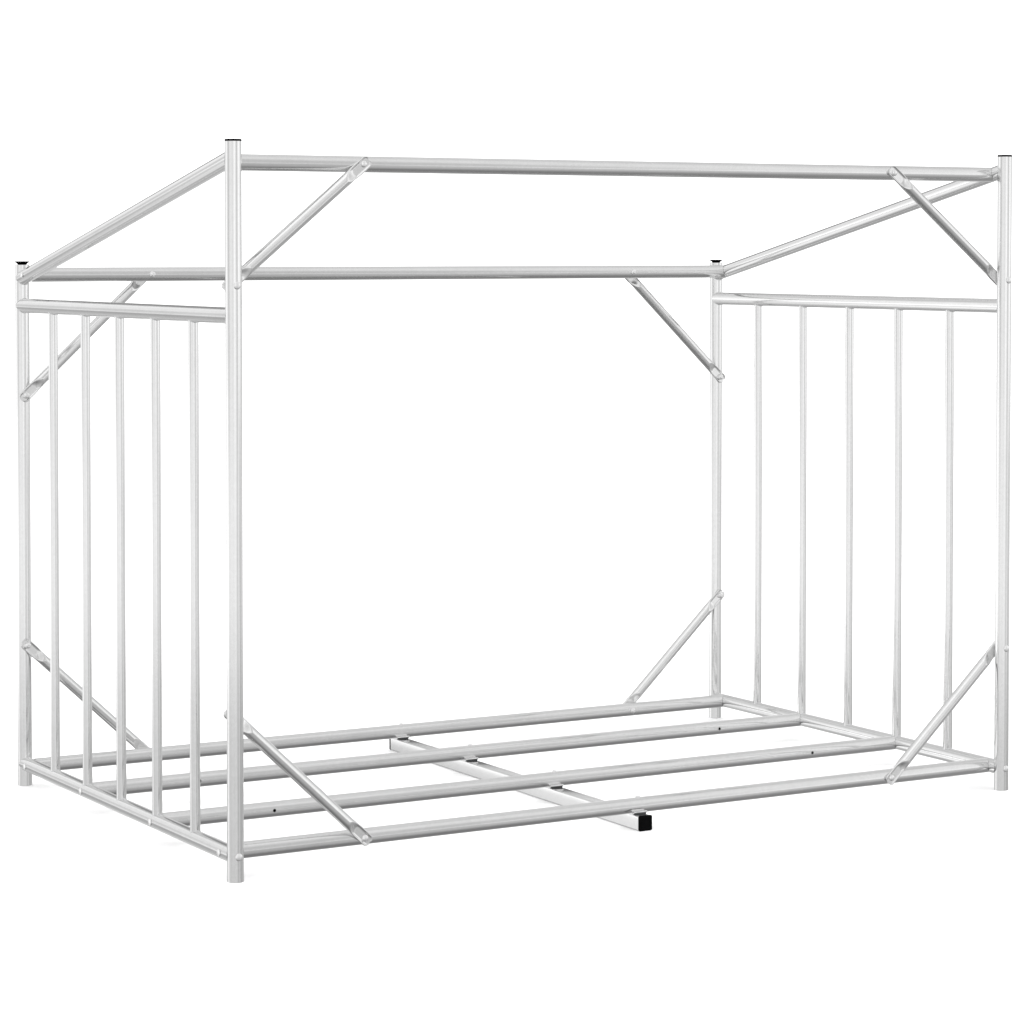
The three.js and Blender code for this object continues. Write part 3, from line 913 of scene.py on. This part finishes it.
def add_world():
    """A white studio to look at, and a softer one with a dim floor for the metal to mirror."""
    world = bpy.data.worlds.new("studio")
    world.use_nodes = True
    scene.world = world
    tree = world.node_tree
    tree.nodes.clear()

    def add(kind, **settings):
        node = tree.nodes.new("ShaderNode" + kind)
        for key, value in settings.items():
            setattr(node, key, value)
        return node

    def maths(operation, *values):
        node = add("Math", operation=operation)
        for socket, value in zip(node.inputs, values):
            if isinstance(value, (int, float)):
                socket.default_value = value
            else:
                tree.links.new(value, socket)
        return node.outputs["Value"]

    def curve(angle, table):
        """Grey value at an angle in radians, read from a table of degrees and values."""
        low, high = math.radians(table[0][0]), math.radians(table[-1][0])
        ramp = add("ValToRGB")
        ramp.color_ramp.interpolation = "EASE"
        elements = ramp.color_ramp.elements
        while len(elements) < len(table):
            elements.new(0.5)
        for element, (degrees, value) in zip(elements, table):
            element.position = (math.radians(degrees) - low) / (high - low)
            element.color = (value, value, value, 1.0)
        share = maths("DIVIDE", maths("SUBTRACT", angle, low), high - low)
        tree.links.new(share, ramp.inputs["Fac"])
        return ramp.outputs["Color"]

    split = add("SeparateXYZ")
    sight = add("TexCoord").outputs["Generated"]
    tree.links.new(sight, split.inputs["Vector"])
    x, y, z = (split.outputs[axis] for axis in "XYZ")
    height = maths("ARCSINE", z)
    compass = maths("ARCTAN2", x, maths("MULTIPLY", y, -1.0))
    level = maths("SUBTRACT", 1.0, maths("MULTIPLY", z, z))
    below = add("MapRange", interpolation_type="SMOOTHSTEP")
    tree.links.new(height, below.inputs["Value"])
    below.inputs["From Min"].default_value = math.radians(LEVEL_ENDS)
    below.inputs["From Max"].default_value = math.radians(BELOW_STARTS)
    blend = add("Mix", data_type="FLOAT")
    tree.links.new(below.outputs["Result"], blend.inputs["Factor"])
    tree.links.new(curve(compass, BY_ANGLE), blend.inputs["A"])
    tree.links.new(curve(compass, BY_ANGLE_BELOW), blend.inputs["B"])
    panels = maths("SUBTRACT", blend.outputs["Result"], 1.0)
    panels = maths("ADD", maths("MULTIPLY", panels, level), 1.0)
    for direction, gain, faded, full in CARDS:
        towards = add("VectorMath", operation="DOT_PRODUCT")
        tree.links.new(sight, towards.inputs[0])
        towards.inputs[1].default_value = Vector(direction).normalized()
        card = add("MapRange", interpolation_type="SMOOTHSTEP")
        tree.links.new(towards.outputs["Value"], card.inputs["Value"])
        card.inputs["From Min"].default_value = faded
        card.inputs["From Max"].default_value = full
        card.inputs["To Min"].default_value = 1.0
        card.inputs["To Max"].default_value = gain
        panels = maths("MULTIPLY", panels, card.outputs["Result"])
    mirrored = add("Background")
    tree.links.new(maths("MULTIPLY", panels, curve(height, BY_HEIGHT)), mirrored.inputs["Color"])
    plain = add("Background")
    plain.inputs["Color"].default_value = (1, 1, 1, 1)
    plain.inputs["Strength"].default_value = PLAIN_STRENGTH
    mix = add("MixShader")
    tree.links.new(add("LightPath").outputs["Is Glossy Ray"], mix.inputs["Fac"])
    tree.links.new(plain.outputs["Background"], mix.inputs[1])
    tree.links.new(mirrored.outputs["Background"], mix.inputs[2])
    tree.links.new(mix.outputs["Shader"], add("OutputWorld").inputs["Surface"])


CAMERA_PLACE = Vector((-3.3865, -5.8897, 1.2805))
CAMERA_YAW = math.radians(29.919)
CAMERA_PITCH = math.radians(1.988)
CAMERA_LENS = 101.01
CAMERA_SHIFT = -0.16


def add_camera():
    data = bpy.data.cameras.new("camera")
    data.lens = CAMERA_LENS
    data.sensor_width = 36
    data.shift_y = CAMERA_SHIFT
    data.clip_end = 100
    camera = bpy.data.objects.new("camera", data)
    scene.collection.objects.link(camera)
    look = Vector((math.sin(CAMERA_YAW) * math.cos(CAMERA_PITCH),
                   math.cos(CAMERA_YAW) * math.cos(CAMERA_PITCH), -math.sin(CAMERA_PITCH)))
    camera.location = CAMERA_PLACE
    camera.rotation_euler = look.to_track_quat("-Z", "Y").to_euler()
    scene.camera = camera


add_floor()
add_world()
add_camera()
scene.view_settings.view_transform = "Standard"
